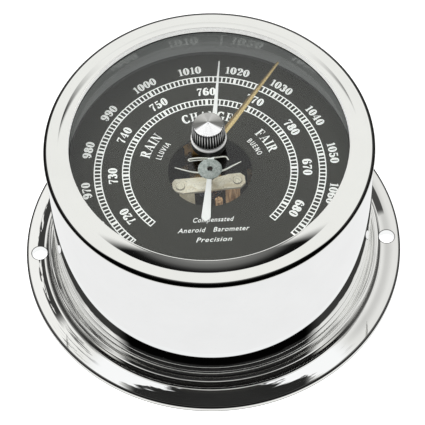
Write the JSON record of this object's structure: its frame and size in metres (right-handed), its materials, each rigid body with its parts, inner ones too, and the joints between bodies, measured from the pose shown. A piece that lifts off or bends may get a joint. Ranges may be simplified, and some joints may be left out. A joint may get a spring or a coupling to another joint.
{
  "type": "aneroid barometer",
  "caption": "Flange-mounted marine aneroid barometer: chromed drum case, dark dial with two pressure scales, white pressure hand, gilt set hand turned by a knurled knob through the glass.",
  "frame": {"origin": "centre of the mounting flange's back face, on the instrument's axis", "axes": "+Z out of the dial towards the reader, +Y towards twelve o'clock, the two mounting holes on the X axis"},
  "size_m": [0.12, 0.12, 0.0715],
  "materials": {
    "chrome_plate": "polished chrome plate on turned brass",
    "glass": "clear flat mineral glass",
    "gasket": "matte black seal",
    "dial_paint": "matte dark warm grey dial enamel, white printed scales",
    "ring_satin": "satin grey spacer ring",
    "hand_white": "white enamel hand",
    "hub_zinc": "tarnished zinc-plated hub",
    "hand_brass": "polished gilt hand",
    "brass": "lacquered turned brass",
    "nickel": "warm nickel plate",
    "steel": "polished steel",
    "capsule_alloy": "corrugated beryllium bronze",
    "blackened": "blackened plate",
    "zinc": "zinc-plated steel"
  },
  "bodies": {
    "case": {"mounting_flange": "chrome_plate", "case_drum": "chrome_plate", "bezel": "chrome_plate", "knob_washer": "chrome_plate", "spindle_bush": "chrome_plate", "glass": "glass", "glass_gasket": "gasket", "glass_retaining_ring": "ring_satin", "dial_spacer_ring": "ring_satin", "dial_plate": "dial_paint", "dial_pillars": "brass", "back_cover": "zinc", "back_cover_screws": "steel", "hairspring": "steel", "hairspring_stud": "brass", "sector_bridge": "nickel", "sector_bridge_pillars": "brass", "sector_bridge_screws": "steel", "shaft_brackets": "brass", "middle_plate": "blackened", "frame_pillars": "brass", "frame_screws": "steel", "top_bridge": "nickel", "bridge_screws": "nickel", "bridge_post": "nickel", "bridge_pillar": "brass", "capsule_lower_shell": "capsule_alloy", "capsule_upper_shell": "capsule_alloy", "capsule_stud": "brass", "capsule_carrier": "nickel", "carrier_screws": "steel", "base_plate": "blackened", "movement_screws": "steel"},
    "set_assembly": {"set_knob": "chrome_plate", "set_spindle": "steel", "set_hand": "hand_brass", "spring_washer": "steel"},
    "pressure_hand": {"pointer": "hand_white", "pointer_hub": "hub_zinc", "pointer_arbor": "steel", "pinion": "brass", "hairspring_collet": "brass", "counterpoise": "steel"},
    "sector": {"sector_gear": "brass", "sector_arbor": "steel"},
    "rocker": {"rocking_shaft": "steel", "input_arm": "brass", "output_arm": "brass", "drive_pin": "steel"},
    "capsule_top": {"capsule_post": "steel"},
    "adjuster": {"adjusting_screw": "brass"}
  },
  "joints": [
    {"name": "set_hand_turn", "type": "hinge", "parent": "case", "child": "set_assembly", "pos_m": [0, 0, 0.058], "axis": [0, 0, 1], "continuous": true},
    {"name": "sector_swing", "type": "hinge", "parent": "case", "child": "sector", "pos_m": [-0.006, 0.01887, 0.0334], "axis": [0, 0, 1], "range_deg": [-14.1, 13]},
    {"name": "pointer_turn", "type": "hinge", "parent": "case", "child": "pressure_hand", "pos_m": [0, 0, 0.0334], "axis": [0, 0, 1], "range_deg": [-130.5, 141.5]},
    {"name": "rocker_tilt", "type": "hinge", "parent": "case", "child": "rocker", "pos_m": [-0.006, 0.005, 0.024], "axis": [0, 1, 0], "range_deg": [-7.62, 7.04]},
    {"name": "capsule_breath", "type": "slide", "parent": "case", "child": "capsule_top", "axis": [0, 0, 1], "range_m": [-0.00074, 0.0008], "deforming": ["capsule_upper_shell"]},
    {"name": "adjuster_turn", "type": "hinge", "parent": "case", "child": "adjuster", "pos_m": [0, 0, 0.004], "axis": [0, 0, 1], "range_deg": [-180, 180]}
  ],
  "couplings": [
    {"joint": "pointer_turn", "follows": "sector_swing", "ratio": -10},
    {"joint": "rocker_tilt", "follows": "sector_swing", "ratio": 0.52632},
    {"joint": "capsule_breath", "follows": "sector_swing", "m_per_rad": -0.0031579}
  ]
}
